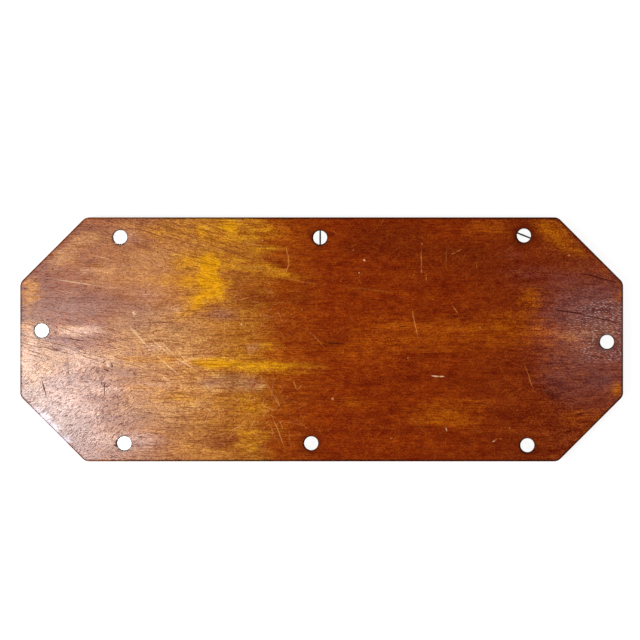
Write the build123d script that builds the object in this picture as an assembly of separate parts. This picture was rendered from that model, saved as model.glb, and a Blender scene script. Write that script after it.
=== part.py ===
from build123d import *
import os

# Transfer board: a flat, eight-sided board of mahogany plywood with cut corners. Eight
# binding posts go through it near its edge. Each post and its screw clamp a rubber foot
# and a washer under the board, with both heads let in, so that nothing stands proud.
#
# Millimetres. +X runs along the board, +Y across it to the back edge, and +Z is up. The
# origin is under the middle of the board, on the surface that the feet stand on.

# Outline of the board
board_length = 610.0
board_width = 247.0
corner_cut = 66.0           # along each edge, from the square corner to the cut
corner_radius = 9.0         # where a cut meets an edge
arris_radius = 1.2          # along the top and the bottom of the edge

# Plies of the board: two faces, two crossbands and the core
face_thickness = 1.5
crossband_thickness = 3.0
core_thickness = 3.5

# Binding post and screw: two flat heads of one size, a hollow barrel and a shank
head_diameter = 14.3
head_thickness = 1.8
head_edge_radius = 0.25
shank_diameter = 5.0
thread_clearance = 0.05     # between the shank and its bore, all round
barrel_wall = 1.45
barrel_shortfall = 0.6      # from the barrel's end to the screw's head, so that it clamps
bore_end_wall = 1.0         # metal left between the bore and the post's head
shank_tip_gap = 1.2         # from the shank's tip to the end of its bore
slot_width = 1.2
slot_depth_share = 0.5      # of the head's thickness

# How the heads and barrels sit in the board
head_recess = 0.2           # the upper head's face below the board's face
head_clearance = 0.3        # between a head and its counterbore, all round
counterbore_chamfer = 0.3
barrel_clearance = 0.15     # between a barrel and its hole, all round

# Washer and rubber foot
washer_overhang = 0.85      # past the head, all round
washer_thickness = 1.0
washer_clearance = 1.0      # between the washer and the wall of the foot's recess
lower_head_height = 0.6     # the lower head's face above the surface the feet stand on
foot_web = 1.6              # rubber between the washer and the board
foot_sole_width = 4.0       # from the recess to the outside of the sole
foot_flare = 1.0            # how much wider the foot is at the board, all round
foot_edge_radius = 0.8      # along the outside of the sole
groove_width = 1.2          # of the ring groove in the sole
groove_depth = 0.6

# Where the fasteners were meant to go
edge_inset = 19.0           # from the front and back edges to their rows of three
end_inset = 19.0            # from each end to the single fastener there
row_inset = 101.0           # from each end to the outer fasteners of the rows

row_x = board_length / 2 - row_inset
row_y = board_width / 2 - edge_inset
end_x = board_length / 2 - end_inset

# Each fastener's place, and how far off it the hand-drilled hole is
places = {
    "back_left": Pos(-row_x, row_y) * Pos(0.5, -1.0),
    "back_middle": Pos(0, row_y) * Pos(-1.5, -1.5),
    "back_right": Pos(row_x, row_y) * Pos(0.5, 0.5),
    "right_end": Pos(end_x, 0) * Pos(2.5, -2.5),
    "front_right": Pos(row_x, -row_y) * Pos(4.0, -2.5),
    "front_middle": Pos(0, -row_y) * Pos(-10.5, -0.5),
    "front_left": Pos(-row_x, -row_y) * Pos(4.5, -0.5),
    "left_end": Pos(-end_x, 0) * Pos(3.0, 9.0),
}

# The pairs that were put in with the screw on top. The others show the plain post.
screw_on_top = ("back_middle", "back_right")

# How far each screw's slot is turned from the X axis
slot_angles = {
    "back_left": 35,
    "back_middle": 90,
    "back_right": -22,
    "right_end": 70,
    "front_right": -50,
    "front_middle": 10,
    "front_left": -75,
    "left_end": 20,
}

# Heights, from the surface that the feet stand on
lower_seat = lower_head_height + head_thickness
recess_roof = lower_seat + washer_thickness
foot_height = recess_roof + foot_web
board_bottom = foot_height
lower_crossband_bottom = board_bottom + face_thickness
core_bottom = lower_crossband_bottom + crossband_thickness
upper_crossband_bottom = core_bottom + core_thickness
top_face_bottom = upper_crossband_bottom + crossband_thickness
board_top = top_face_bottom + face_thickness
upper_seat = board_top - head_recess - head_thickness

# Sizes that follow from the fit of one piece in another
grip = upper_seat - lower_seat
bore_radius = shank_diameter / 2 + thread_clearance
barrel_radius = bore_radius + barrel_wall
barrel_length = grip - barrel_shortfall
shank_length = grip - bore_end_wall - shank_tip_gap
barrel_hole_radius = barrel_radius + barrel_clearance
counterbore_radius = head_diameter / 2 + head_clearance
washer_radius = head_diameter / 2 + washer_overhang
recess_radius = washer_radius + washer_clearance
sole_radius = recess_radius + foot_sole_width

standing = (Align.CENTER, Align.CENTER, Align.MIN)
hanging = (Align.CENTER, Align.CENTER, Align.MAX)


def make_outline():
    """The board seen from above: a rectangle with cut corners, softly rounded."""
    cut = chamfer(Rectangle(board_length, board_width).vertices(), corner_cut)
    return fillet(cut.vertices(), corner_radius)


def make_hole():
    """The hole for one fastener: its barrel hole, and the upper head's counterbore."""
    barrel_hole = Cylinder(barrel_hole_radius, board_top, align=standing)
    counterbore = Cylinder(counterbore_radius, board_top - upper_seat, align=standing)
    rim_radius = counterbore_radius + counterbore_chamfer
    rim = Cone(counterbore_radius, rim_radius, counterbore_chamfer, align=hanging)
    return barrel_hole + Pos(0, 0, upper_seat) * counterbore + Pos(0, 0, board_top) * rim


def make_ply(outline, bottom, thickness, outer_face=None):
    """One ply. A face ply has the arris of its outer face, top or bottom, rounded."""
    ply = Pos(0, 0, bottom) * extrude(outline, thickness)
    edges_by_height = ply.edges().group_by(Axis.Z)
    rounding = min(arris_radius, 0.9 * thickness)
    if outer_face == "top":
        ply = fillet(edges_by_height[-1], rounding)
    if outer_face == "bottom":
        ply = fillet(edges_by_height[0], rounding)
    for place in places.values():
        ply -= place * make_hole()
    return ply


def make_head():
    """A flat round head that stands on z = 0, with its outer edge eased."""
    head = Cylinder(head_diameter / 2, head_thickness, align=standing)
    return fillet(head.edges().group_by(Axis.Z)[-1], head_edge_radius)


def make_post():
    """A binding post: its head above z = 0, and its barrel with a blind bore below."""
    barrel = Cylinder(barrel_radius, barrel_length, align=hanging)
    bore = Cylinder(bore_radius, barrel_length - bore_end_wall, align=standing)
    return make_head() + barrel - Pos(0, 0, -barrel_length) * bore


def make_screw():
    """A post's screw: its slotted head above z = 0, and its shank below."""
    shank = Cylinder(shank_diameter / 2, shank_length, align=hanging)
    slot_depth = head_thickness * slot_depth_share
    slot = Box(2 * head_diameter, slot_width, slot_depth, align=hanging)
    return make_head() + shank - Pos(0, 0, head_thickness) * slot


def make_washer():
    """The flat washer between the foot and the lower head."""
    washer = Cylinder(washer_radius, washer_thickness, align=standing)
    return washer - Cylinder(barrel_hole_radius, washer_thickness, align=standing)


def make_foot():
    """A flared rubber foot with a recess for the lower head and a grooved sole."""
    foot = Cone(sole_radius, sole_radius + foot_flare, foot_height, align=standing)
    foot = fillet(foot.edges().group_by(Axis.Z)[0], foot_edge_radius)
    foot -= Cylinder(recess_radius, recess_roof, align=standing)
    foot -= Cylinder(barrel_hole_radius, foot_height, align=standing)
    groove_radius = (recess_radius + sole_radius - foot_edge_radius) / 2
    groove = Cylinder(groove_radius + groove_width / 2, groove_depth, align=standing)
    groove -= Cylinder(groove_radius - groove_width / 2, groove_depth, align=standing)
    return foot - groove


def make_board():
    """The five plies, from the bottom face up."""
    outline = make_outline()
    return {
        "bottom_face_veneer": make_ply(outline, board_bottom, face_thickness, "bottom"),
        "lower_crossband": make_ply(outline, lower_crossband_bottom, crossband_thickness),
        "core_ply": make_ply(outline, core_bottom, core_thickness),
        "upper_crossband": make_ply(outline, upper_crossband_bottom, crossband_thickness),
        "top_face_veneer": make_ply(outline, top_face_bottom, face_thickness, "top"),
    }


def make_fastener(name):
    """One foot with the washer, binding post and screw that hold it to the board."""
    upper_side = places[name] * Pos(0, 0, upper_seat)
    lower_side = places[name] * Pos(0, 0, lower_seat) * Rot(180, 0, 0)
    post_side = upper_side
    screw_side = lower_side
    if name in screw_on_top:
        post_side = lower_side
        screw_side = upper_side
    return {
        "foot_" + name: places[name] * make_foot(),
        "washer_" + name: places[name] * Pos(0, 0, lower_seat) * make_washer(),
        "binding_post_" + name: post_side * make_post(),
        "post_screw_" + name: screw_side * Rot(0, 0, slot_angles[name]) * make_screw(),
    }


pieces = make_board()
for fastener_name in places:
    pieces.update(make_fastener(fastener_name))

os.makedirs("parts", exist_ok=True)
for node, piece in pieces.items():
    export_step(piece, "parts/" + node + ".step")
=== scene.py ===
import math
import random

import bpy
from mathutils import Matrix, Vector, geometry, noise


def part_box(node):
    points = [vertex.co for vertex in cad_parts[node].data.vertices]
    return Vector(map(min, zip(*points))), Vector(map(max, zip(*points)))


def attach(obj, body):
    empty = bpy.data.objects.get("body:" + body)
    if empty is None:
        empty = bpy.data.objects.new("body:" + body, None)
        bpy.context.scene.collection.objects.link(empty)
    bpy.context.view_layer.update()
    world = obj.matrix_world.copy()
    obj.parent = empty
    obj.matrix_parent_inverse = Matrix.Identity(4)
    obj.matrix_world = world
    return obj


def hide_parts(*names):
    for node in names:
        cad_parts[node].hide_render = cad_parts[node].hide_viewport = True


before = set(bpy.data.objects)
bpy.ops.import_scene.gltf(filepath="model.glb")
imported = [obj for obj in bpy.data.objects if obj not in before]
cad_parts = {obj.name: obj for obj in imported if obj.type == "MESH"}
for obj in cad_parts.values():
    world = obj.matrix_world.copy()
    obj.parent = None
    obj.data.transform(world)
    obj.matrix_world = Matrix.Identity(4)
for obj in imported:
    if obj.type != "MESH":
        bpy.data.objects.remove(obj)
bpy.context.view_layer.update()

# A worn, varnished mahogany transfer board, seen from straight above: eight bright binding
# posts let in flush near its edge, each with a rubber foot under it. Objects are placed in
# metres. Materials and face plies are worked out in millimetres, with x along the board and y
# across it, from its middle.

MM = 0.001
full_turn = 2 * math.pi

# The board: the frame gives its box, and its corners are cut as the CAD's are
low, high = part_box("top_face_veneer")
board_length = (high.x - low.x) / MM
board_width = (high.y - low.y) / MM
board_top = high.z
corner_cut = 66
cut_reach = board_length / 2 + board_width / 2 - corner_cut     # x + y along a corner's cut

# The fasteners: the names of their places, and where the frame has them
place_names = ("back_left", "back_middle", "back_right", "right_end",
               "front_right", "front_middle", "front_left", "left_end")


def middle_of(node):
    """The middle of a node's box, in millimetres."""
    lowest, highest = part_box(node)
    return (lowest + highest) / 2 / MM


slot_turns = {"back_middle": 90, "back_right": -22}      # in the heads of the two upper screws
head_places = [middle_of("binding_post_" + name) for name in place_names]
head_low, head_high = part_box("binding_post_" + place_names[0])
head_radius = (head_high.x - head_low.x) / 2 / MM


def head_spots(radius, aside=0, down=0, strength=1):
    """A round spot on each head, or a little to the left of it and below."""
    return [(at.x - aside, at.y - down, radius, radius, strength) for at in head_places]


def around(x, y, radius, turns):
    """Places round a middle, at turns in radians."""
    return [(x + radius * math.cos(turn), y + radius * math.sin(turn)) for turn in turns]


def even_turns(count):
    return [full_turn * step / count for step in range(count)]


def add_object(name, data):
    made = bpy.data.objects.new(name, data)
    bpy.context.scene.collection.objects.link(made)
    return made


# ------------------------------------ colours and shader nodes

def paint(red, green, blue):
    """A colour given as it is seen, with channels from 0 to 255, in the form that nodes take."""
    linear = []
    for level in (red, green, blue):
        share = level / 255
        linear.append(share / 12.92 if share <= 0.04045 else ((share + 0.055) / 1.055) ** 2.4)
    return (*linear, 1)


class Shader:
    """The nodes of a material or the world. Most calls add a node and give back its output."""

    def __init__(self, name, world=None):
        self.material = world or bpy.data.materials.new(name)
        self.material.use_nodes = True
        self.tree = self.material.node_tree
        self.surface = self.tree.nodes["Background" if world else "Principled BSDF"]
        self.tint = None

    def feed(self, node, values):
        """Links a node's sockets, named or numbered, to outputs, or sets them to plain values."""
        for key, value in values.items():
            if isinstance(value, bpy.types.NodeSocket):
                self.tree.links.new(value, node.inputs[key])
            else:
                node.inputs[key].default_value = value

    def node(self, kind, values, **settings):
        made = self.tree.nodes.new("ShaderNode" + kind)
        for key, value in settings.items():
            setattr(made, key, value)
        self.feed(made, values)
        return made

    def feed_surface(self, **values):
        """Feeds the surface's sockets, named with _ for a space. Gives back the material."""
        self.feed(self.surface, {name.replace("_", " "): value for name, value in values.items()})
        return self.material

    def finish(self, rough, relief, **others):
        """Feeds the surface its tint, roughness and relief, and other values."""
        return self.feed_surface(Base_Color=self.tint, Roughness=rough, Normal=relief, **others)

    def math(self, operation, *values, clamp=False):
        made = self.node("Math", dict(enumerate(values)), operation=operation, use_clamp=clamp)
        return made.outputs[0]

    def plus(self, first, second):
        return self.math("ADD", first, second)

    def times(self, first, second):
        return self.math("MULTIPLY", first, second)

    def line(self, value, slope, start):
        """slope * value + start."""
        return self.math("MULTIPLY_ADD", value, slope, start)

    def size(self, value):
        return self.math("ABSOLUTE", value)

    def most(self, first, *others):
        """The largest of some numbers."""
        for other in others:
            first = self.math("MAXIMUM", first, other)
        return first

    def dimmed(self, value, *marks):
        """A number, made less where marks are. Each mark comes with the share that it takes."""
        for mark, share in marks:
            value = self.times(value, self.line(mark, -share, 1))
        return value

    def swings(self, *noises):
        """The sum of noises, each centred on 0 and given with its reach from low to high."""
        total = 0
        for each, reach in noises:
            total = self.plus(total, self.line(each, reach, -reach / 2))
        return total

    def vector(self, operation, first, second):
        return self.node("VectorMath", {0: first, 1: second}, operation=operation).outputs[0]

    def scaled(self, vector, factor):
        return self.node("VectorMath", {0: vector, "Scale": factor}, operation="SCALE").outputs[0]

    def parts(self, vector):
        """The x, y and z of a vector."""
        return self.node("SeparateXYZ", {0: vector}).outputs[:3]

    def place(self):
        """Where a point is on the part, in millimetres."""
        return self.scaled(self.node("TexCoord", {}).outputs["Object"], 1 / MM)

    def flat(self, place):
        return self.vector("MULTIPLY", place, (1, 1, 0))

    def turned(self, place, degrees):
        """The place, turned about the board's middle."""
        turn = (0, 0, math.radians(degrees))
        return self.node("Mapping", {"Vector": place, "Rotation": turn}).outputs[0]

    def stretched(self, place, size, offset=(0, 0, 0)):
        """The place, divided by a size along each axis."""
        scale = [1 / length for length in size]
        values = {"Vector": place, "Location": offset, "Scale": scale}
        return self.node("Mapping", values).outputs[0]

    def noise(self, place, size, offset=(0, 0, 0), detail=2, roughness=0.5, output="Fac"):
        """Soft noise from 0 to 1 about 0.5, whose lumps have the given size."""
        laid = self.stretched(place, size, offset)
        values = {"Vector": laid, "Scale": 1, "Detail": detail, "Roughness": roughness}
        return self.node("TexNoise", values).outputs[output]

    def bent(self, place, size, reach, offset=(0, 0, 0), detail=2):
        """The place, moved about by up to half of a reach along each axis."""
        wander = self.noise(place, size, offset, detail, output="Color")
        centred = self.vector("SUBTRACT", wander, (0.5, 0.5, 0.5))
        return self.vector("ADD", place, self.vector("MULTIPLY", centred, reach))

    def ramp(self, value, low, high, to_low=0, to_high=1):
        """Eases from one number to another as value goes from low to high."""
        values = {"Value": value, "From Min": low, "From Max": high,
                  "To Min": to_low, "To Max": to_high}
        return self.node("MapRange", values, interpolation_type="SMOOTHSTEP").outputs[0]

    def blend(self, share, first, second):
        """One number into another."""
        return self.node("Mix", {0: share, 2: first, 3: second}, data_type="FLOAT").outputs[0]

    def mix(self, share, first, second, blend="MIX"):
        """One colour into another."""
        values = {0: share, 6: first, 7: second}
        return self.node("Mix", values, data_type="RGBA", blend_type=blend).outputs[2]

    def over(self, share, *channels):
        """Paints a share of a colour over the tint."""
        self.tint = self.mix(share, self.tint, paint(*channels))

    def gradient(self, value, stops):
        """A smooth blend of colours, each given as its share and its channels."""
        made = self.node("ValToRGB", {0: value})
        made.color_ramp.interpolation = "EASE"
        elements = made.color_ramp.elements
        while len(elements) < len(stops):
            elements.new(0.5)
        for element, (share, *channels) in zip(elements, stops):
            element.position = share
            element.color = paint(*channels)
        return made.outputs[0]

    def bump(self, height, distance):
        """Small relief in millimetres from a height that runs from 0 to 1."""
        values = {"Strength": 1, "Distance": distance * MM, "Height": height}
        return self.node("Bump", values).outputs[0]

    def spots(self, place, ovals):
        """The sum of oval spots, each with its strength in the middle and 0 at its rim: x, y,
        half length, half width, strength, and for a turned oval its turn in degrees."""
        total = 0
        for x, y, half_length, half_width, strength, *turn in ovals:
            values = {"Vector": place, "Location": (x, y, 0), "Scale": (half_length, half_width, 1),
                      "Rotation": (0, 0, math.radians(sum(turn)))}
            laid = self.node("Mapping", values, vector_type="TEXTURE").outputs[0]
            oval = self.node("TexGradient", {"Vector": laid}, gradient_type="SPHERICAL")
            total = self.line(oval.outputs["Fac"], strength, total)
        return total

    def strokes(self, place, lines, half_width):
        """The sum of thin strokes, each given by its two ends and its strength."""
        ovals = []
        for x1, y1, x2, y2, strength in lines:
            half_length = math.hypot(x2 - x1, y2 - y1) / 2
            turn = math.degrees(math.atan2(y2 - y1, x2 - x1))
            ovals.append(((x1 + x2) / 2, (y1 + y2) / 2, half_length, half_width, strength, turn))
        return self.spots(place, ovals)

    def ticks(self, place, cell, half_length, half_width, share, offset):
        """Short straight scratches: a share of the cells of a given size has one, at any turn."""
        laid = self.stretched(place, (cell, cell, cell), offset)
        cells = self.node("TexVoronoi", {"Vector": laid, "Scale": 1}, voronoi_dimensions="2D")
        apart = self.scaled(self.vector("SUBTRACT", laid, cells.outputs["Position"]), cell)
        turn, chance = self.parts(cells.outputs["Color"])[:2]
        values = {"Vector": apart, "Angle": self.times(turn, full_turn)}
        swung = self.node("VectorRotate", values, rotation_type="Z_AXIS").outputs[0]
        along, across = self.parts(swung)[:2]
        curved = self.times(self.times(along, along), 0.03 / half_length)
        across = self.size(self.plus(across, curved))
        thin = self.ramp(across, 0.4 * half_width, 1.6 * half_width, 1, 0)
        short = self.ramp(self.size(along), 0.4 * half_length, half_length, 1, 0)
        deep = self.ramp(chance, 0.4 * share, share, 1, 0)
        return self.times(self.times(thin, short), deep)


# ------------------------------------ mahogany

# The varnished wood's colour along the board, from its left end
ground_colours = (
    (0, 122, 48, 6), (0.08, 140, 64, 8), (0.20, 160, 92, 38), (0.29, 184, 114, 40),
    (0.37, 172, 100, 24), (0.44, 146, 60, 4), (0.52, 132, 43, 1), (0.70, 130, 42, 1),
    (0.84, 122, 41, 4), (0.92, 122, 45, 11), (1, 120, 40, 4),
)

# Layers of colour over that, the lowest first. Each has its share where it is fullest, how far
# streaks break its edges, its colour, and the ovals that it lies in.
colour_layers = {}
colour_layers["orange wood"] = (0.6, 0.8, (168, 74, 4), (
    (105, 4, 120, 30, 0.9), (185, 10, 70, 22, 0.8), (20, -12, 90, 20, 0.4), (130, -75, 60, 22, 0.8),
    (-160, 62, 80, 40, 0.6), (-168, -40, 80, 40, 0.7), (-210, -10, 60, 14, 0.6),
    (285, 75, 30, 20, 0.4, -40), (-48, 106, 30, 16, 0.9), (-46, -14, 30, 12, 0.6), (-76, 46, 26, 24, 0.7),
    (-92, -104, 44, 12, 0.6), (255, -78, 20, 14, 0.7), (271, -75, 18, 10, 0.5), (222, 44, 18, 14, 0.5),
    (165, 112, 36, 12, 0.9), (246, 4, 40, 24, 1),
))
colour_layers["pale wood"] = (0.7, 0.4, (204, 142, 78), (
    (-165, -20, 90, 60, 1), (-172, 18, 60, 24, 0.55), (-165, -72, 60, 26, 0.9), (-160, 60, 50, 40, 0.5),
    (-215, 70, 70, 36, 0.5), (-70, 73, 38, 6, 0.8, -14), (-122, -22, 36, 9, 1.2), (-190, -16, 60, 14, 0.5),
    (-122, 36, 18, 10, 0.6, 35), (-150, 84, 50, 16, 0.35), (-90, -44, 46, 14, 0.85),
    (-290, -16, 24, 74, 0.85), (-235, 104, 40, 14, 0.6), (-260, 84, 34, 14, 0.6, 35),
    (285, 8, 26, 26, 0.35), (252, 6, 30, 22, 0.35), (-250, 8, 26, 9, 1), (-170, -50, 24, 10, 0.7),
    (-130, -58, 32, 14, 0.6), (-70, -50, 18, 9, 0.5), (-262, -20, 50, 20, 0.7),
))
# Wood bleached pale, mostly at the left, with painted glare in it: it stands in for part of the varnish's
# shine there
colour_layers["bleached wood"] = (0.6, 0.4, (230, 182, 158), (
    (-264, -72, 46, 46, 0.75), (-298, -8, 12, 38, 1.2), (-228, -76, 16, 14, 0.4), (-130, -22, 26, 7, 0.8),
    (-290, -24, 24, 50, 0.15), (-232, -22, 40, 12, 0.5), (-250, 8, 24, 8, 0.8), (-226, -44, 26, 16, 0.55),
    (-262, -40, 22, 12, 0.25), (-230, 10, 22, 12, 0.6), (-252, -12, 22, 10, 0.5), (-180, 44, 40, 14, 0.35),
    (-196, 104, 36, 16, 0.4), (-190, -104, 44, 14, 0.85), (-172, -50, 28, 10, 0.75),
    (-70, -10, 14, 9, 0.4), (-210, -53, 24, 8, 0.45), (-250, -30, 20, 8, 0.4), (-150, 30, 16, 10, 0.35),
    (-170, -8, 22, 7, 0.4), (-230, -98, 20, 18, 0.4), (-240, 70, 26, 10, 0.3),
))
colour_layers["amber varnish"] = (0.8, 0.5, (176, 88, 4), (
    (236, 106, 40, 18, 0.8, -38), (262, 88, 26, 8, 0.3, -42), (276, -90, 44, 8, 0.8, 45),
    (297, -51, 12, 14, 0.75), (302, 48, 6, 20, 0.6), (48, 51, 40, 3, 0.5, -6), (105, 42, 34, 3, 0.25, -9),
    (212, 40, 20, 18, 0.7), (170, 113, 26, 8, 0.4), (127, -76, 56, 18, 0.6), (30, -64, 40, 10, 0.4),
    (180, 14, 60, 18, 0.5),
))
colour_layers["dark stains"] = (0.55, 0.8, (92, 24, 1), (
    (206, 106, 20, 18, 1.2), (10, -4, 24, 8, 0.8), (32, 47, 14, 8, 0.6), (233, -55, 14, 8, 0.7),
    (146, -103, 16, 8, 0.7), (151, -63, 3, 1.6, 1, 30), (134, 24, 4, 1.2, 1), (145, 24, 4, 1.2, 1),
    (66, 105, 66, 26, 0.9), (90, 84, 70, 30, 0.4), (150, -45, 50, 12, 0.4), (-96, -104, 44, 12, 0.8),
    (-44, 76, 16, 6, 0.6), (-78, 42, 30, 24, 0.6), (-90, 60, 12, 10, 0.5), (282, -8, 20, 10, 0.4),
    (165, 72, 70, 22, 0.5), (-265, -88, 60, 34, 0.9, -25), (-276, 36, 24, 12, 0.3), (80, -40, 80, 12, 0.4),
    (-48, 40, 40, 18, 0.4), (-18, 42, 24, 14, 0.5), (-135, 12, 26, 10, 0.3), (-75, 14, 24, 10, 0.3),
    (-70, -108, 24, 8, 0.5), (148, 90, 46, 14, 0.8), (-112, -90, 60, 10, 0.4), (-150, -90, 26, 10, 0.4),
    (-90, -38, 16, 40, 0.7), (-150, 10, 20, 9, 0.4), (250, 50, 22, 10, 0.4), (-230, 112, 24, 8, 0.5),
    (30, 90, 24, 12, 0.5), (170, 8, 24, 12, 0.4), (210, -110, 22, 9, 0.4), (132, -70, 22, 12, 0.3),
))
colour_layers["dulled varnish"] = (0.65, 0.3, (144, 92, 74), (
    (-243, 35, 64, 22, 0.9), (-165, 18, 45, 14, 0.4), (-192, 15, 26, 14, 0.5), (-198, -34, 26, 7, 0.8),
    (-180, 31, 32, 12, 0.7), (-192, -80, 34, 24, 0.5), (-194, -106, 34, 12, 0.8), (-103, 25, 26, 11, 0.8),
    (-112, -43, 26, 10, 0.7), (-72, -44, 22, 10, 0.6), (-86, 121, 9, 4, 1),
))
colour_layers["plum brown of the right end"] = (0.6, 0.8, (106, 46, 38), (
    (255, 32, 42, 46, 0.9), (280, -42, 24, 16, 0.8), (254, -62, 36, 26, 0.5), (210, 66, 50, 26, 0.55),
    (190, 90, 20, 12, 0.35), (236, -44, 34, 18, 0.7), (284, 34, 26, 40, 0.6),
))
colour_layers["small stains"] = (0.4, 0.8, (76, 30, 14), (
    (233, -55, 12, 7, 1.2), (246, -50, 8, 5, 0.8), (-252, 30, 26, 12, 0.3),
))
colour_layers["white shine along the lower left cut"] = (0.75, 0.3, (228, 214, 228), (
    (-279, -84, 38, 8, 1, -45), (-262, -98, 22, 10, 0.5, -45),
))
colour_layers["gold under clear varnish"] = (0.8, 0.8, (198, 124, 16), (
    (-114, 58, 30, 40, 1.2), (-148, 60, 40, 14, 0.8), (-134, 32, 30, 13, 0.9, 35),
    (-76, 74, 56, 11, 0.95, -14), (-40, 66, 36, 8, 0.5, -12), (-110, 111, 74, 20, 1),
    (-176, 108, 44, 12, 0.5, -8), (-84, -26, 112, 12, 0.8, -2), (-150, -58, 60, 13, 0.8),
    (-140, -36, 60, 10, 0.4, -4), (-70, -64, 50, 18, 0.4), (-66, -96, 24, 9, 0.5), (-298, 4, 10, 66, 0.65),
    (-292, 50, 16, 20, 0.8), (-70, -70, 18, 10, 0.5), (-245, 76, 44, 10, 0.4, -6),
    (-170, -112, 60, 8, 0.4), (-136, 80, 30, 14, 1), (-105, -12, 32, 9, 0.4), (-54, -7, 26, 9, 0.6),
    (-78, -12, 26, 8, 0.4), (-48, 108, 28, 12, 0.4), (-60, 91, 30, 9, 0.6), (-100, 78, 26, 12, 0.7),
    (-100, 104, 30, 10, 0.6), (-76, -107, 22, 10, 0.7), (-191, -20, 22, 6, 0.9), (-160, -19, 30, 6, 0.9),
    (-178, -49, 28, 7, 0.8),
))

# The brightest of the gold
bright_patches = (
    (-114, 68, 13, 26, 1.6), (-110, 50, 20, 16, 1.2), (-134, 60, 18, 9, 0.7), (-126, 38, 16, 9, 0.9, 40),
    (-121, 110, 6, 14, 0.7), (-92, 113, 14, 12, 0.9), (-114, -23, 30, 8.5, 1.1), (-46, -27, 32, 7, 0.4),
    (-111, 74, 13, 12, 0.9), (-106, 100, 40, 5, 0.2, -3), (-134, 78, 20, 10, 0.6),
    (-84, -25, 64, 7, 0.5, -3), (-70, -96, 12, 6, 0.3),
)

# Where the varnish of the right end has crazed into pale flecks, which also carry painted glare there
fleck_patches = (
    (288, 20, 26, 28, 1.3), (290, -9, 24, 18, 1.7), (299, 22, 8, 24, 1), (282, -14, 30, 14, 1),
    (276, 12, 30, 32, 0.6), (252, 16, 60, 70, 0.6), (236, -36, 46, 26, 0.3),
)

# Where the varnish of the right end still shines
glossy_end = (308, 2, 120, 100, 1)

# Where the heads have gone dull
dull_end = (-290, -60, 130, 110, 1)

# Scratches that show light: from one end to the other, and how plain each is
light_scratches = (
    (101, 97, 101, 64, 0.6), (105.5, 68, 106, 58, 0.5), (126, 98, 126, 70, 0.3), (157, 83, 157, 68, 0.35),
    (130, 86, 136, 88, 0.6), (136, 88, 143, 92, 0.6), (90, 37, 98, -4, 0.8), (131, 35, 139, 24, 0.7),
    (110.5, -37, 124.6, -38, 1), (203, -19, 216, -57, 0.5), (-277, 61, -223, 54, 0.5),
    (-53, 64, 10, 54, 0.35), (10, 54, 84, 47, 0.25), (-37, 95, -33.5, 82, 0.8), (-33.6, 87, -33.4, 73, 1),
    (-33, 77, -36.4, 66, 1.2), (-197, 17, -171, -13, 0.8), (-171, -13, -139, -40, 1),
    (-51, -76, -36, -112, 1.2), (-188, 5, -176, -8, 0.7), (-172, 0, -153, -16, 0.9),
    (-164, 0, -147, -19, 0.8), (-150, -16, -127, -32, 1), (-147, -10, -133, -27, 0.7),
    (-166, -33, -149, -45, 0.7), (-177, -37, -165, -75, 0.3), (-150, -42, -172, -68, 0.3),
    (-99, 37, -60, 45, 0.4), (-130, -60, -96, -84, 0.4), (-110, -64, -122, -96, 0.4),
    (-86, 100, -52, 92, 0.4), (-20, 16, 8, -14, 0.4), (-44, -80, -38, -92, 0.6), (-54, -84, -47, -98, 0.5),
    (-29, -41, -25, -52, 0.8), (-25, -52, -19, -45, 0.8), (172, -104, 178, -100, 0.6),
    (178, -100, 184, -101, 0.5),
)

# Chips and scratches that are nearly white
white_scratches = (
    (110, -36.6, 119, -37.8, 1), (118, -37.6, 125, -37.4, 0.8), (100.8, 72, 101, 66, 0.3),
    (101.2, 97.4, 101.6, 96, 0.5), (-227.8, -75.4, -225.8, -76.8, 2), (-209.2, 96.8, -207.6, 98.4, 3),
    (-217.8, -26, -215, -27.6, 1.2), (41.8, 80.8, 44.4, 79.4, 1), (36.6, 68, 38.6, 67.2, 0.4),
    (31, 90.4, 33.2, 89.8, 0.3), (-292, 65, -203, 50, 0.3), (-286, 54, -236, 43, 0.2),
    (-238, 87, -204, 78, 0.25), (-228, 52, -192, 52, 0.25), (-197, 16, -184, 0, 0.4),
    (-118, -44, -112, -52, 0.4), (172, -104, 176, -102, 0.5), (125, -88, 127, -94, 0.5),
    (-192, 28, -189, 25, 0.9), (-191, 24, -187, 26, 0.6), (-82, 15.4, -80.4, 14.8, 1),
)

# Thin dark lines: cracks along the grain and the marks of something dropped
dark_scratches = (
    (258, 68, 300, 57, 1.2), (232, 30.5, 270, 24.5, 1.2), (262, 25.5, 302, 16, 0.8),
    (278, 86, 294, 77, 0.5), (270, 6, 300, 2, 0.4), (262, -16, 296, -19, 0.5), (256, -58, 288, -56, 0.4),
    (248, -78, 276, -72, 0.4), (240, -98, 262, -88, 0.4), (-206, -39, -186, -41, 0.25),
    (-262, 2, -236, -2, 0.5), (-219, -43, -220, -58, 1), (-224, -47, -214, -48, 0.5),
    (-222, -42, -222, -47, 0.6), (-284, -34, -277, -64, 0.6), (-257, -10, -255, -54, 0.27),
    (196, 55, 240, 50, 0.3), (-213, -23, -211, -29, 0.8), (-211, -106.4, -207.4, -106.9, 1.6),
    (-221, -30, -214, -32, 0.9), (-223, -25, -217, -21, 0.7), (0, -3, 26, -5, 0.8),
    (-150, 72, -120, 70, 0.4), (60, -70, 96, -71, 0.4), (131, 23.5, 138, 23, 0.8),
    (141, 23.5, 148, 23, 0.9), (76, 13.2, 88, 12.6, 0.6),
)

# Specks: x, y and radius
pale_specks = (
    (-227, -76, 1.4), (43, 80, 1.8), (38, 67, 1.3), (87, -19, 1.4), (-81, 15, 1.8), (-191, 27, 1.8),
    (-231, 18, 1.4), (11, -60, 2.2), (-100, -70, 1.2), (160, 12, 1.2), (-20, 30, 1), (70, -100, 1.2),
    (250, 85, 1.4), (-60, 100, 1.2), (190, -90, 1.3),
)

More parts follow.
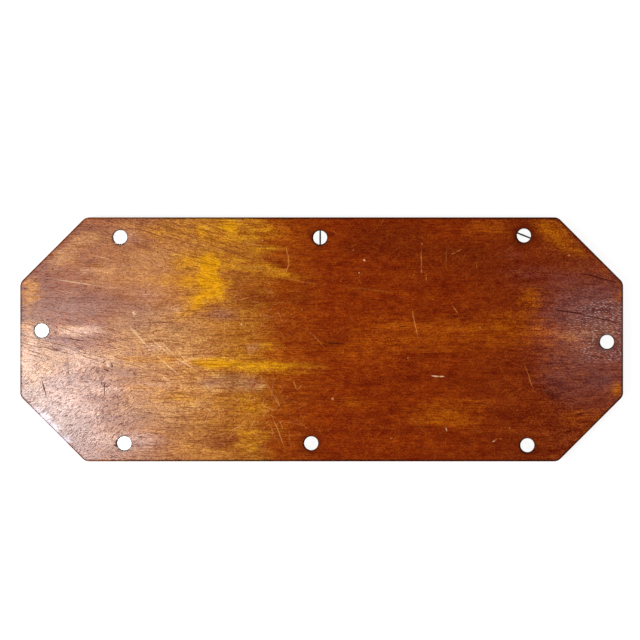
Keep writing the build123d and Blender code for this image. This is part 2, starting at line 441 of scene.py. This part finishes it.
# Short fine scratches at every turn: cell size, half length, half width and share of cells
tick_sizes = ((6, 2.6, 0.33, 0.6), (11, 5, 0.33, 0.6), (19, 9, 0.36, 0.6), (34, 16, 0.4, 0.5))
scuffed_patches = (
    (-90, -76, 110, 60, 1), (-60, 30, 90, 60, 0.5), (-150, -10, 80, 50, 0.8), (60, 70, 90, 40, 0.4),
    (60, -80, 100, 40, 0.3),
)

# Where the grain leans, hardly shows, or shows as long dark lines
rising_grain = ((-262, -72, 110, 70, 1),)
falling_grain = ((-255, 0, 90, 40, 1, -10), (-150, 96, 110, 44, 1, -10),)
calm_grain = ((-235, 55, 120, 60, 1.2), (240, 84, 60, 50, 0.8, -40),)
lined_grain = (
    (-112, 100, 100, 36, 1.2, -4), (-90, -106, 80, 18, 0.7), (-60, 62, 70, 22, 0.6, -10),
    (-110, -30, 90, 30, 0.4),
)


def make_grain(s, grain, turn, pore_length=5.5, long_pore_length=19):
    """Fibres, open pores and dark lines that lie at a turn from the board's length."""
    laid = s.turned(grain, turn)
    fibre = s.noise(laid, (3.6, 0.8, 0.8), (0, 0, 7), roughness=0.6)
    pores = s.noise(laid, (pore_length, 0.65, 0.65), (11, 0, 0), detail=1, roughness=0.4)
    long_pores = s.noise(laid, (long_pore_length, 0.9, 0.9), (0, 17, 0))
    pores = s.most(s.ramp(pores, 0.57, 0.66), s.ramp(long_pores, 0.55, 0.64))
    lines = s.ramp(s.noise(laid, (34, 1.5, 1.5), (0, 29, 0)), 0.5, 0.64)
    return fibre, pores, lines


def grain_relief(s, fibre, pores):
    """The height of raised fibres and open pores."""
    return s.line(pores, -0.8, s.times(fibre, 0.5))


def make_face_wood():
    """The top face: red-brown mahogany under old varnish that has worn unevenly."""
    s = Shader("mahogany_top")
    place = s.place()
    x, y = s.parts(place)[:2]
    flat = s.flat(place)

    # The grain runs along the board and wanders a little
    grain = s.bent(place, (170, 60, 60), (0, 9, 0))
    broad = s.noise(grain, (110, 11, 11), detail=4, roughness=0.6)
    band = s.noise(grain, (38, 3.2, 3.2), (3, 0, 0), detail=3, roughness=0.6)
    mottle = s.noise(grain, (9, 5, 5), (0, 5, 0), detail=3, roughness=0.65)
    speck = s.noise(grain, (1.5, 1.1, 1.1), (5, 0, 0), detail=1, roughness=0.6)

    # It leans up to the right at the lower left, and down to the right above that
    mottled = s.swings((mottle, 0.5))
    rising = s.ramp(s.plus(s.spots(flat, rising_grain), mottled), 0.1, 0.4)
    falling = s.ramp(s.plus(s.spots(flat, falling_grain), mottled), 0.1, 0.4)
    level_grain = make_grain(s, grain, 0)
    curly = s.bent(grain, (9, 9, 9), (7, 7, 0), (1, 2, 0))
    up_grain = make_grain(s, curly, -34, 2.6, 5)
    down_grain = make_grain(s, grain, 15)
    fibre, pores, lines = [s.blend(rising, s.blend(falling, level, down), up)
                           for level, down, up in zip(level_grain, down_grain, up_grain)]
    calm = s.ramp(s.spots(flat, calm_grain), 0, 0.6)
    lines = s.times(lines, s.ramp(s.spots(flat, lined_grain), 0.1, 0.7))

    # Layers of colour, with broken edges that follow the grain
    along = s.line(x, 1 / board_length, 0.5)
    s.tint = s.gradient(s.plus(along, s.swings((broad, 0.12))), ground_colours)
    drawn = s.bent(flat, (30, 9, 20), (26, 9, 0), (7, 0, 0), detail=4)
    wander = s.swings((broad, 0.8), (band, 0.5), (mottle, 0.6))
    layers = {}
    for name, (fullest, broken, channels, ovals) in colour_layers.items():
        total = s.spots(drawn, ovals)
        streaked = s.times(wander, s.ramp(total, 0, 0.4, 0, broken))
        layers[name] = s.ramp(s.plus(total, streaked), 0.05, 0.8, 0, fullest)
        s.over(layers[name], *channels)
    bright = s.ramp(s.spots(drawn, bright_patches), 0, 0.95, 0, 0.9)
    s.over(bright, 228, 152, 6)

    # Streaks and mottle run from deep red to orange. Fibres and specks are lighter and darker.
    # How far they go changes along the board, and they are greyer at the left.
    right_end = s.ramp(x, 170, 235)
    coarse_reach = s.plus(s.ramp(x, -200, 0, 0.45, 0.95), s.times(right_end, 0.4))
    coarse_reach = s.dimmed(coarse_reach, (calm, 0.45), (bright, 0.85))
    coarse = s.swings((broad, 1), (band, 0.8), (mottle, 1.2))
    fine_reach = s.plus(s.ramp(x, 50, 130, 1, 0.8), s.times(right_end, 0.75))
    fine_reach = s.dimmed(fine_reach, (calm, 0.2), (rising, 0.1), (bright, 0.5))
    fine = s.times(s.swings((speck, 1)), s.ramp(x, -20, 60, 1.8, 2.3))
    fine = s.plus(fine, s.swings((fibre, 1.2), (mottle, 0.5)))
    clear = s.ramp(x, -250, -60)
    deep_red = s.mix(clear, (0.5, 0.4, 0.35, 1), (0.62, 0.35, 0.2, 1))
    orange = s.mix(clear, (1.5, 1.6, 1.6, 1), (1.38, 1.65, 1.4, 1))
    dark = s.mix(clear, (0.4, 0.2, 0.15, 1), (0.62, 0.22, 0.05, 1))
    light = s.mix(clear, (1.6, 1.8, 1.9, 1), (1.38, 1.9, 3, 1))
    coarse_shade = s.mix(s.line(coarse, coarse_reach, 0.5), deep_red, orange)
    fine_shade = s.mix(s.line(fine, fine_reach, 0.5), dark, light)
    s.tint = s.mix(1, s.mix(1, s.tint, coarse_shade, "MULTIPLY"), fine_shade, "MULTIPLY")

    # Pale flecks where the varnish has crazed, with painted glare in them at the right end, open pores and
    # long dark lines
    crazed = s.noise(s.turned(flat, 12), (3, 1, 3), (2, 0, 0), roughness=0.6)
    flecks = s.times(s.ramp(crazed, 0.54, 0.62), s.ramp(s.spots(drawn, fleck_patches), 0.1, 1.1))
    s.over(s.times(flecks, 0.68), 212, 176, 172)
    pore_share = s.dimmed(s.ramp(x, -250, -60, 0.7, 0.5), (calm, 0.65))
    s.over(s.times(pores, pore_share), 84, 8, 0)
    s.over(s.times(lines, s.line(bright, -0.4, 0.5)), 118, 48, 6)

    # Many fine scratches every way
    hairlines = 0
    for turn, length in ((64, 14), (-66, 18), (84, 14), (18, 40), (-40, 44), (48, 50), (-24, 20)):
        hairs = s.noise(s.turned(flat, turn), (length, 0.55, 9), (turn, 0, 0), detail=0)
        hairlines = s.most(hairlines, s.ramp(hairs, 0.74, 0.86))
    hairlines = s.times(hairlines, s.ramp(mottle, 0.3, 0.6))
    s.over(s.times(hairlines, 0.4), 204, 120, 40)
    ticked = 0
    for number, tick_size in enumerate(tick_sizes):
        offset = (3.7 * number, 1.9 * number, 0)
        ticked = s.most(ticked, s.ticks(flat, *tick_size, offset))
    scuffed = s.ramp(s.plus(s.spots(drawn, scuffed_patches), mottle), 0.5, 1.3, 0.15, 1)
    ticked = s.times(s.times(ticked, scuffed), s.ramp(x, -60, 40, 0.45, 0.35))
    s.tint = s.mix(ticked, s.tint, s.mix(s.ramp(x, -60, 0), paint(232, 160, 104), paint(190, 104, 44)))

    # The plain scratches, cracks and specks
    scored = s.bent(flat, (16, 16, 16), (2.4, 2.4, 0), (5, 5, 0))
    broken = s.line(speck, 1.6, s.line(mottle, 1.2, -0.5))
    scored_light = s.ramp(s.times(s.strokes(scored, light_scratches, 0.75), broken), 0, 0.5)
    pale = s.mix(s.ramp(x, -140, -50), paint(252, 204, 150), paint(220, 146, 70))
    s.tint = s.mix(s.times(scored_light, 0.52), s.tint, pale)
    scored_dark = s.ramp(s.strokes(scored, dark_scratches, 0.9), 0.02, 0.4)
    s.over(s.times(scored_dark, 0.8), 60, 14, 2)
    specks = s.spots(flat, [(left, up, radius, radius, 1) for left, up, radius in pale_specks])
    specks = s.ramp(s.times(specks, speck), 0.05, 0.4)
    s.over(s.times(specks, 0.7), 216, 150, 90)

    # Dirt round the heads, redder further out. Nearer in, a dark ring round each head is stain with
    # painted shadow, thicker to its lower left, and the wood is darker along the edge
    halo = s.spots(drawn, head_spots(head_radius + 8, 1, 1))
    halo = s.ramp(s.line(mottle, 0.3, halo), 0.2, 0.6, 0, 0.45)
    s.over(s.times(halo, s.ramp(x, -160, -20)), 86, 20, 2)
    far_x, far_y = s.size(x), s.size(y)
    past_cut = s.times(s.plus(s.plus(far_x, far_y), -cut_reach), math.sqrt(0.5))
    past = s.most(s.plus(far_x, -board_length / 2), s.plus(far_y, -board_width / 2), past_cut)
    edge = s.ramp(s.plus(past, s.swings((mottle, 3))), -2.8, -0.9)
    # Stain and painted shadow: a dark ring round each head, pushed to its lower left, where the gap round
    # the head is in shade
    rims = s.ramp(s.spots(flat, head_spots(head_radius + 3, 0.7, 0.4)), 0.12, 0.27)
    dark_edge_and_rim_shadow = s.most(s.times(edge, s.ramp(x, -250, -150, 0.3, 0.85)), s.times(rims, 0.85))
    s.over(dark_edge_and_rim_shadow, 40, 10, 3)
    white = s.ramp(s.strokes(flat, white_scratches, 0.9), 0, 0.5)
    s.over(s.times(white, 0.7), 240, 200, 160)

    # The varnish is left at both ends and worn away between them
    gloss = s.ramp(s.spots(flat, [glossy_end]), 0, 0.75, 0, 0.9)
    gloss = s.plus(s.ramp(x, -250, -40, 1, 0.03), gloss)
    gloss = s.times(gloss, s.ramp(fibre, 0.32, 0.62, 0.55, 1.3))
    gloss = s.math("MULTIPLY", gloss, s.line(pores, -0.7, 1), clamp=True)
    gloss = s.dimmed(gloss, (scored_dark, 0.9), (bright, 0.85), (layers["amber varnish"], 0.8),
                    (edge, 0.8))
    relief = s.bump(s.line(scored_light, -0.8, grain_relief(s, fibre, pores)), 0.1)
    rough = s.line(pores, 0.25, s.ramp(mottle, 0.3, 0.7, 0.34, 0.48))
    return s.finish(rough, relief, Coat_Weight=gloss, Coat_Roughness=0.24,
                    Specular_IOR_Level=0.02)


def make_back_wood():
    """The bottom face: the same mahogany, evenly stained, with scuffs and dust by the feet."""
    s = Shader("mahogany_back")
    place = s.place()
    flat = s.flat(place)
    grain = s.bent(place, (150, 50, 50), (0, 12, 0), (4, 4, 0))
    broad = s.noise(grain, (140, 14, 14), (6, 0, 0), detail=4, roughness=0.6)
    band = s.noise(grain, (50, 3.5, 3.5), (1, 8, 0), detail=3, roughness=0.6)
    speck = s.noise(grain, (1.5, 1.1, 1.1), (2, 6, 0), detail=1, roughness=0.6)
    fibre, pores, lines = make_grain(s, grain, 3)
    s.tint = s.mix(s.ramp(broad, 0.3, 0.7), paint(92, 34, 12), paint(138, 66, 26))
    s.over(s.ramp(band, 0.35, 0.7, 0, 0.6), 158, 84, 36)
    s.over(s.ramp(fibre, 0.3, 0.7, 0, 0.5), 84, 30, 12)
    s.over(s.ramp(speck, 0.35, 0.7, 0, 0.3), 172, 104, 58)
    s.over(s.times(pores, 0.6), 56, 18, 6)
    s.over(s.times(lines, 0.4), 62, 22, 8)
    scuffed = s.ticks(flat, 34, 15, 0.4, 0.4, (3, 5, 0))
    s.over(s.times(scuffed, 0.25), 196, 138, 92)
    dust = s.line(band, 0.4, s.spots(flat, head_spots(26, strength=0.9)))
    s.over(s.ramp(dust, 0.35, 0.9, 0, 0.5), 64, 50, 40)
    relief = s.bump(grain_relief(s, fibre, pores), 0.1)
    rough = s.line(pores, 0.2, s.ramp(broad, 0.3, 0.7, 0.36, 0.52))
    return s.finish(rough, relief, Specular_IOR_Level=0.3)


def make_edge_wood(name, light, dark, along_y):
    """A ply's edge: stained and varnished, with the end grain's pores as dots."""
    s = Shader(name)
    place = s.place()
    streaks = s.noise(place, (3, 60, 1.2) if along_y else (60, 3, 1.2), detail=3, roughness=0.6)
    pore_size = (0.55, 7, 0.55) if along_y else (7, 0.55, 0.55)
    pores = s.ramp(s.noise(place, pore_size, (5, 5, 5), detail=1), 0.56, 0.66)
    stain = s.noise(place, (25, 25, 8), (9, 0, 0), detail=3)
    s.tint = s.mix(s.ramp(streaks, 0.3, 0.7), dark, light)
    s.over(s.ramp(stain, 0.45, 0.75, 0, 0.6), 52, 16, 6)
    s.over(s.times(pores, 0.7), 38, 12, 6)
    relief = s.bump(s.math("SUBTRACT", s.times(streaks, 0.6), pores), 0.15)
    rough = s.ramp(stain, 0.3, 0.7, 0.35, 0.6)
    return s.finish(rough, relief, Specular_IOR_Level=0.3)


# ------------------------------------ metal and rubber

def make_head_metal():
    """Bright aluminium, lightly scratched, with painted shade and some soiling in the slots, down the
    sides and round the rims.
    """
    s = Shader("head_aluminium")
    place = s.place()
    z = s.parts(place)[2]
    flat = s.flat(place)

    # Painted shade, with some soiling: in a ring round each head, down its side and in its slot
    ring = s.ramp(s.spots(flat, head_spots(2 * head_radius)), 0.5, 0.53, 1, 0)
    upper = s.ramp(z, 5, 8)
    face_height = board_top / MM
    upper_side = s.times(upper, s.ramp(z, face_height - 1.1, face_height - 0.5, 1, 0))
    lower_side = s.times(s.ramp(z, 5, 8, 1, 0), s.ramp(z, 0.9, 1.3))
    slot_lines = []
    for name, degrees in slot_turns.items():
        at = middle_of("post_screw_" + name)
        turns = (math.radians(degrees), math.radians(degrees + 180))
        first, second = around(at.x, at.y, 4 * head_radius, turns)
        slot_lines.append((*first, *second, 1))
    slots = s.ramp(s.strokes(flat, slot_lines, 1.8), 0.42, 0.58)
    slots = s.times(slots, s.times(upper, 0.8))
    painted_shade_and_dirt = s.most(upper_side, lower_side, slots, s.times(ring, 0.8))

    rubbed = s.noise(s.turned(place, 25), (9, 0.35, 9))
    crossed = s.noise(s.turned(place, -50), (7, 0.3, 9), (3, 3, 0))
    scratches = s.most(s.ramp(rubbed, 0.55, 0.7), s.ramp(crossed, 0.58, 0.72))
    cloud = s.noise(place, (4, 4, 4), detail=3)
    s.tint = s.mix(s.ramp(cloud, 0.35, 0.7), paint(254, 254, 253), paint(247, 247, 246))
    # Painted shade: the slots, the sides in the holes and the rim ring are darkened where shade falls
    s.over(painted_shade_and_dirt, 26, 21, 18)
    dull = s.ramp(s.spots(flat, [dull_end]), 0, 0.2, 0.07, 0.57)
    rough = s.line(scratches, 0.08, dull)
    rough = s.math("MULTIPLY_ADD", ring, 0.4, rough, clamp=True)
    relief = s.bump(scratches, -0.01)
    return s.finish(rough, relief, Metallic=1)


def make_washer_metal():
    """Zinc plate, dulled in patches."""
    s = Shader("washer_zinc")
    place = s.place()
    cloud = s.noise(place, (5, 5, 5), detail=4)
    spangle = s.noise(place, (1.2, 1.2, 1.2))
    s.tint = s.mix(s.ramp(cloud, 0.35, 0.7), paint(196, 198, 202), paint(140, 142, 146))
    s.over(s.ramp(spangle, 0.62, 0.75, 0, 0.5), 92, 88, 84)
    rough = s.ramp(cloud, 0.3, 0.7, 0.3, 0.55)
    relief = s.bump(spangle, 0.03)
    return s.finish(rough, relief, Metallic=1)


def make_foot_rubber():
    """Matt black moulded rubber with dust and scuffs."""
    s = Shader("foot_rubber")
    place = s.place()
    z = s.parts(place)[2]
    dust = s.noise(place, (6, 6, 3), detail=4, roughness=0.7)
    grit = s.noise(place, (0.5, 0.5, 0.5))
    s.tint = s.mix(s.ramp(dust, 0.4, 0.75, 0, 0.5), paint(34, 33, 33), paint(84, 80, 74))
    s.over(s.ramp(z, 0.2, 2.5, 0.35, 0), 98, 92, 84)
    s.over(s.ramp(grit, 0.6, 0.7, 0, 0.4), 20, 20, 20)
    rough = s.ramp(dust, 0.3, 0.7, 0.6, 0.85)
    relief = s.bump(grit, 0.05)
    return s.finish(rough, relief, Specular_IOR_Level=0.35)


# ------------------------------------ face plies

# Both face plies are remade as meshes, because use has rounded and chipped their edges
corner_radius = 9
arris_radius = 1.2
face_thickness = (high.z - low.z) / MM
ring_spacing = 2.5          # between points along an edge
mesh_spacing = 3.2          # between points on a face
mesh_shift = 0.6            # of those points, either way
arc_steps = 6               # round each corner
rim_steps = 48              # round each hole
border = 4.5                # from the edge to the plain mesh of a face
collar = 2                  # from a hole's rim to the plain mesh of a face
spare = 1.2                 # between that mesh and what it leaves room for
deepest_wear = 0.07         # of the whole face
wear_size = 55              # across a hollow of that wear
arris_wear_size = 45        # along a worn stretch of the edge
nick_size = 6               # along a nick in the edge
rim_nick_size = 1.6         # along a nick in a hole's rim
rim_nick_radius = 9         # round a hole, where their noise is read
counterbore_radius = head_radius + 0.3
barrel_hole_radius = 4.15
counterbore_chamfer = 0.3
barrel_hole_chamfer = 0.1

# Dents in the top face: x, y, radius and depth
dents = (
    (-217, -27, 4.5, 0.12), (-227, -76, 1.8, 0.12), (11, -60, 2.6, 0.3), (43, 80, 2.2, 0.25),
    (151, -63, 2.6, 0.35), (-81, 15, 2.2, 0.25), (172, -103, 3.4, 0.25), (87, -19, 1.8, 0.3),
    (-191, 27, 2.4, 0.25), (134, 24, 3, 0.2), (38, 67, 1.6, 0.25), (206, 38, 6, 0.15), (-48, -86, 5, 0.18),
    (96, 12, 4, 0.15), (-130, 100, 5, 0.15), (60, -84, 3.2, 0.2), (252, -18, 3, 0.22),
)

# Chips out of the top face beside a head: the place, the chip's direction and its reach
rim_chips = {"back_left": (222, 1.3), "front_right": (214, 1.5), "front_left": (183, 1.7),
             "right_end": (268, 1.2)}


def waver(place, size, seed):
    """A smooth number from 0 to 1 that varies over the board in lumps of a size."""
    return 0.5 + 0.5 * noise.noise(Vector(place).to_3d() / size + Vector((0, seed, seed)))


def outline_walk():
    """Points round the board's outline, as (root, outward): root + outward * corner_radius
    is on the outline, and less than that is inside it by the difference."""
    half_length, half_width = board_length / 2, board_width / 2
    end, side = half_width - corner_cut, half_length - corner_cut
    corners = [Vector(at) for at in (
        (half_length, end), (side, half_width), (-side, half_width), (-half_length, end),
        (-half_length, -end), (-side, -half_width), (side, -half_width), (half_length, -end))]
    outward = []
    for corner, following in zip(corners, corners[1:] + corners[:1]):
        along = (following - corner).normalized()
        outward.append(Vector((along.y, -along.x)))
    centres = []
    for number, corner in enumerate(corners):
        both = outward[number - 1] + outward[number]
        share = corner_radius / (1 + outward[number - 1].dot(outward[number]))
        centres.append(corner - both * share)
    walk = []
    for number, centre in enumerate(centres):
        following = centres[(number + 1) % len(centres)]
        for step in range(arc_steps):
            turned = Vector(outward[number - 1])
            turned.rotate(Matrix.Rotation(full_turn / len(corners) * step / arc_steps, 2))
            walk.append((centre, turned))
        steps = round((following - centre).length / ring_spacing)
        for step in range(steps):
            walk.append((centre.lerp(following, step / steps), outward[number]))
    return walk


class PlyMesh:
    """Collects a ply's points and faces. A point's height is its depth below the outer face.
    Each face keeps its corners' places on the map that its material is baked through."""

    def __init__(self):
        self.points = []
        self.faces = []
        self.map_places = []

    def ring(self, places, depths):
        """Adds a ring of points, and gives back their numbers."""
        first = len(self.points)
        for place, depth in zip(places, depths):
            self.points.append((place[0], place[1], depth))
        return list(range(first, len(self.points)))

    def face(self, corners, map_place):
        self.faces.append(corners)
        self.map_places.append([map_place(corner) for corner in corners])

    def outer_place(self, corner):
        """On the map's upper part: the outer face."""
        x, y, depth = self.points[corner]
        return 0.5 + 0.98 * x / board_length, 0.60 + 0.76 * y / board_width

    def hidden_place(self, corner):
        """On a small part of the map: the face that is glued to the next ply."""
        x, y, depth = self.points[corner]
        return 0.25 + 0.46 * x / board_length, 0.055 + 0.08 * y / board_width

    def bridge(self, outer, inner, strip=None):
        """Faces between two rings of as many points: part of the outer face, or a wall that is
        a strip of the map, given as where the strip starts, its length and its base."""
        count = len(outer)
        for number in range(count):
            following = (number + 1) % count
            self.face((outer[number], outer[following], inner[following], inner[number]),
                      self.outer_place)
            if strip:
                start, length, base = strip
                left = start + length * number / count
                right = left + length / count
                top = base + 0.022
                self.map_places[-1] = [(left, base), (right, base), (right, top), (left, top)]

    def fill(self, outer, holes, extra, map_place, facing_out):
        """Fills a face between a ring and its holes, by way of extra places and their depths."""
        owners = {}
        numbers = list(outer)
        for hole in holes:
            numbers += hole
            for point in hole:
                owners[point] = hole[0]
        numbers += self.ring(*extra)
        flat = [Vector(self.points[number][:2]) for number in numbers]
        edges = []
        first = 0
        for ring in [outer] + holes:
            count = len(ring)
            edges += [(first + step, first + (step + 1) % count) for step in range(count)]
            first += count
        found = geometry.delaunay_2d_cdt(flat, edges, [], 1, 1e-5)
        triangles, sources = found[2], found[3]
        for triangle in triangles:
            corners = [numbers[sources[corner][0]] for corner in triangle]
            hole_names = {owners.get(corner) for corner in corners}
            if len(hole_names) == 1 and None not in hole_names:
                continue
            if not facing_out:
                corners.reverse()
            self.face(corners, map_place)


def wear_depths(places, marks):
    """How far use has lowered a face at each place."""
    depths = []
    for x, y in places:
        depth = deepest_wear * waver((x, y), wear_size, 3)
        for mark_x, mark_y, radius, deepest in marks:
            share = 1 - math.hypot(x - mark_x, y - mark_y) / radius
            if share > 0:
                depth += deepest * share * share * (3 - 2 * share)
        depths.append(depth)
    return depths


def face_places(holes, marks):
    """Places for a face's own points: an uneven grid, and rings round each dent."""
    draw = random.Random(11)
    places = []
    for mark_x, mark_y, radius, deepest in marks:
        places.append((mark_x, mark_y))
        for share in (0.3, 0.55, 0.8, 1.05):
            turns = [turn + math.radians(40 * share) for turn in even_turns(12)]
            places += around(mark_x, mark_y, radius * share, turns)
    columns = int(board_length / mesh_spacing)
    rows = int(board_width / mesh_spacing)
    for column in range(columns + 1):
        for row in range(rows + 1):
            x = board_length * (column / columns - 0.5) + draw.uniform(-mesh_shift, mesh_shift)
            y = board_width * (row / rows - 0.5) + draw.uniform(-mesh_shift, mesh_shift)
            past = max(abs(x) - board_length / 2, abs(y) - board_width / 2,
                       (abs(x) + abs(y) - cut_reach) * math.sqrt(0.5))
            room = [math.hypot(x - at.x, y - at.y) - reach - spare for at, reach in holes]
            for mark_x, mark_y, radius, deepest in marks:
                room.append(math.hypot(x - mark_x, y - mark_y) - 1.05 * radius - spare / 2)
            if past <= -border - spare and min(room) >= 0:
                places.append((x, y))
    return places


def make_face_ply(name, node, material, hole_radius, chamfer, marks, chips, seed):
    """A worn face ply with its holes, in place of the CAD node."""
    lowest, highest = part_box(node)
    upward = lowest.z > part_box("core_ply")[0].z
    walk = outline_walk()
    ply = PlyMesh()

    def at_inset(insets):
        return [root + outward * (corner_radius - inset)
                for (root, outward), inset in zip(walk, insets)]

    # The edge: a wall, and an arris that is rounded unevenly
    outline = at_inset([0] * len(walk))
    worn = []
    for place in outline:
        long_wear = max(0, waver(place, arris_wear_size, seed) - 0.45)
        nick = max(0, waver(place, nick_size, seed + 5) - 0.72)
        worn.append(0.5 * long_wear + 1.2 * nick)
    face_low = wear_depths(outline, marks)
    glued = ply.ring(outline, [face_thickness] * len(walk))
    rings = []
    for degrees in (0, 22.5, 45, 67.5, 90):
        across, down = 1 - math.cos(math.radians(degrees)), 1 - math.sin(math.radians(degrees))
        depths = []
        for wear, start in zip(worn, face_low):
            rounding = min(arris_radius * (1 + 0.35 * wear), 0.9 * face_thickness - start)
            depths.append(rounding * down + start)
        places = at_inset([arris_radius * (1 + wear) * across for wear in worn])
        rings.append(ply.ring(places, depths))
    flat_insets = [arris_radius * (1 + wear) + 0.3 for wear in worn]
    for insets in (flat_insets, [border] * len(walk)):
        places = at_inset(insets)
        rings.append(ply.ring(places, wear_depths(places, marks)))
    ply.bridge(glued, rings[0], (0.01, 0.98, 0.125))
    for outer, inner in zip(rings, rings[1:]):
        ply.bridge(outer, inner)

    # The holes: a wall, a chamfer with its chips, and a collar
    collars, mouths, holes = [], [], []
    turns = even_turns(rim_steps)
    reach = hole_radius + chamfer + collar
    map_share = 0.98 / len(place_names)
    for number, (place_name, at) in enumerate(zip(place_names, head_places)):
        chip_turn, chip_reach = chips.get(place_name, (0, 0))
        chipped = []
        for turn, (x, y) in zip(turns, around(at.x, at.y, rim_nick_radius, turns)):
            apart = math.remainder(turn - math.radians(chip_turn), full_turn)
            rough = 0.35 * max(0, waver((x, y), rim_nick_size, seed) - 0.5)
            chipped.append(chip_reach * math.exp(-(apart / 0.22) ** 2) + rough)
        bore = around(at.x, at.y, hole_radius, turns)
        face_low = wear_depths(bore, marks)
        rim = []
        for turn, chip in zip(turns, chipped):
            rim += around(at.x, at.y, hole_radius + chamfer + chip, [turn])
        collar_places = around(at.x, at.y, reach, turns)
        mouth = ply.ring(bore, [face_thickness] * rim_steps)
        throat_low = [start + chamfer + 0.4 * chip for start, chip in zip(face_low, chipped)]
        throat = ply.ring(bore, throat_low)
        rim = ply.ring(rim, face_low)
        ring = ply.ring(collar_places, wear_depths(collar_places, marks))
        ply.bridge(throat, mouth, (0.01 + map_share * number, 0.96 * map_share, 0.165))
        ply.bridge(rim, throat)
        ply.bridge(ring, rim)
        collars.append(ring)
        mouths.append(mouth)
        holes.append((at, reach))

    places = face_places(holes, marks)
    ply.fill(rings[-1], collars, (places, wear_depths(places, marks)), ply.outer_place, True)
    ply.fill(glued, mouths, ((), ()), ply.hidden_place, False)

    # The bottom ply is the same mesh upside down
    outer_height = (highest if upward else lowest).z / MM
    sign = -1 if upward else 1
    points = [(x * MM, y * MM, (outer_height + sign * depth) * MM) for x, y, depth in ply.points]
    faces = [face[::-sign] for face in ply.faces]
    mesh = bpy.data.meshes.new(name)
    mesh.from_pydata(points, [], faces)
    layer = mesh.uv_layers.new(name="OFBake")
    map_places = [place for places in ply.map_places for place in places[::-sign]]
    for corner, place in zip(layer.data, map_places):
        corner.uv = place
    mesh.shade_smooth()
    mesh.set_sharp_from_angle(angle=math.radians(38))
    mesh.materials.append(material)
    piece = add_object(name, mesh)
    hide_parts(node)
    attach(piece, "root")


def give(material, *nodes):
    """Gives CAD nodes their material."""
    for node in nodes:
        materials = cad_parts[node].data.materials
        materials.clear()
        materials.append(material)


make_face_ply("worn_top_face", "top_face_veneer", make_face_wood(), counterbore_radius,
              counterbore_chamfer, dents, rim_chips, 1)
make_face_ply("worn_bottom_face", "bottom_face_veneer", make_back_wood(),
              barrel_hole_radius, barrel_hole_chamfer, (), {}, 9)
crossband_wood = make_edge_wood("mahogany_crossband", paint(120, 52, 22), paint(84, 30, 12), True)
core_wood = make_edge_wood("mahogany_core", paint(132, 60, 26), paint(92, 36, 14), False)
give(crossband_wood, "upper_crossband", "lower_crossband")
give(core_wood, "core_ply")
give(make_head_metal(), *[kind + name for kind in ("binding_post_", "post_screw_")
                          for name in place_names])
give(make_washer_metal(), *["washer_" + name for name in place_names])
give(make_foot_rubber(), *["foot_" + name for name in place_names])


# ------------------------------------ floor, light and camera

white = (1, 1, 1, 1)
room_light = 0.48           # what the world gives the object, where 1 is white


def seen_directly(shader):
    """1 for camera, glossy and transmission rays, and 0 for the rest."""
    rays = shader.node("LightPath", {}).outputs
    return shader.most(rays["Is Camera Ray"], rays["Is Glossy Ray"], rays["Is Transmission Ray"])


def make_floor():
    """A white floor that keeps the board's soft shadow."""
    steps = 64
    radius = 14
    corners = [(x, y, 0) for x, y in around(0, 0, radius, even_turns(steps))]
    mesh = bpy.data.meshes.new("floor")
    mesh.from_pydata(corners, [], [list(range(steps))])
    floor = add_object("floor", mesh)
    s = Shader("floor_white")
    away = s.node("VectorMath", {0: s.place()}, operation="LENGTH").outputs["Value"]
    glow = s.times(seen_directly(s), s.ramp(away, 500, 1800, 0.72, 0.86))
    floor.data.materials.append(s.feed_surface(
        Base_Color=(0.5, 0.5, 0.5, 1), Roughness=1, Specular_IOR_Level=0,
        Emission_Color=white, Emission_Strength=glow))


def make_world():
    """A white room: soft light on the object, and plain white where it is seen."""
    world = bpy.data.worlds.new("studio")
    bpy.context.scene.world = world
    s = Shader("studio", world)
    s.feed_surface(Color=white, Strength=s.line(seen_directly(s), 1 - room_light, room_light))


def make_lamp(name, place, target, width, depth, radiance):
    """A soft lamp that the camera doesn't see."""
    lamp = bpy.data.lights.new(name, "AREA")
    lamp.shape = "RECTANGLE"
    lamp.size = width
    lamp.size_y = depth
    lamp.energy = radiance * math.pi * width * depth
    made = add_object(name, lamp)
    made.location = place
    aim = Vector(target) - Vector(place)
    made.rotation_euler = aim.to_track_quat("-Z", "Y").to_euler()
    made.visible_camera = False


def make_camera():
    """Straight above the board, and a little off its middle, as in the photograph."""
    view_width = 0.647
    view_middle = (-0.0017, 0.0196)
    height_above_board = 1.4
    camera = bpy.data.cameras.new("camera")
    camera.sensor_width = 36
    camera.lens = camera.sensor_width * height_above_board / view_width
    camera.clip_end = 20
    eye = add_object("camera", camera)
    eye.location = (*view_middle, board_top + height_above_board)
    bpy.context.scene.camera = eye


make_floor()
make_world()
left_half = (-0.1, 0, 0)
make_lamp("key", (-0.53, -0.18, 0.92), left_half, 0.25, 0.34, 23)
make_lamp("upper", (-0.56, 0.12, 0.92), left_half, 0.20, 0.26, 3)
make_lamp("fill", (1, 0.5, 1), (0, 0, 0), 0.8, 0.8, 1.6)
make_camera()
bpy.context.scene.view_settings.view_transform = "Standard"
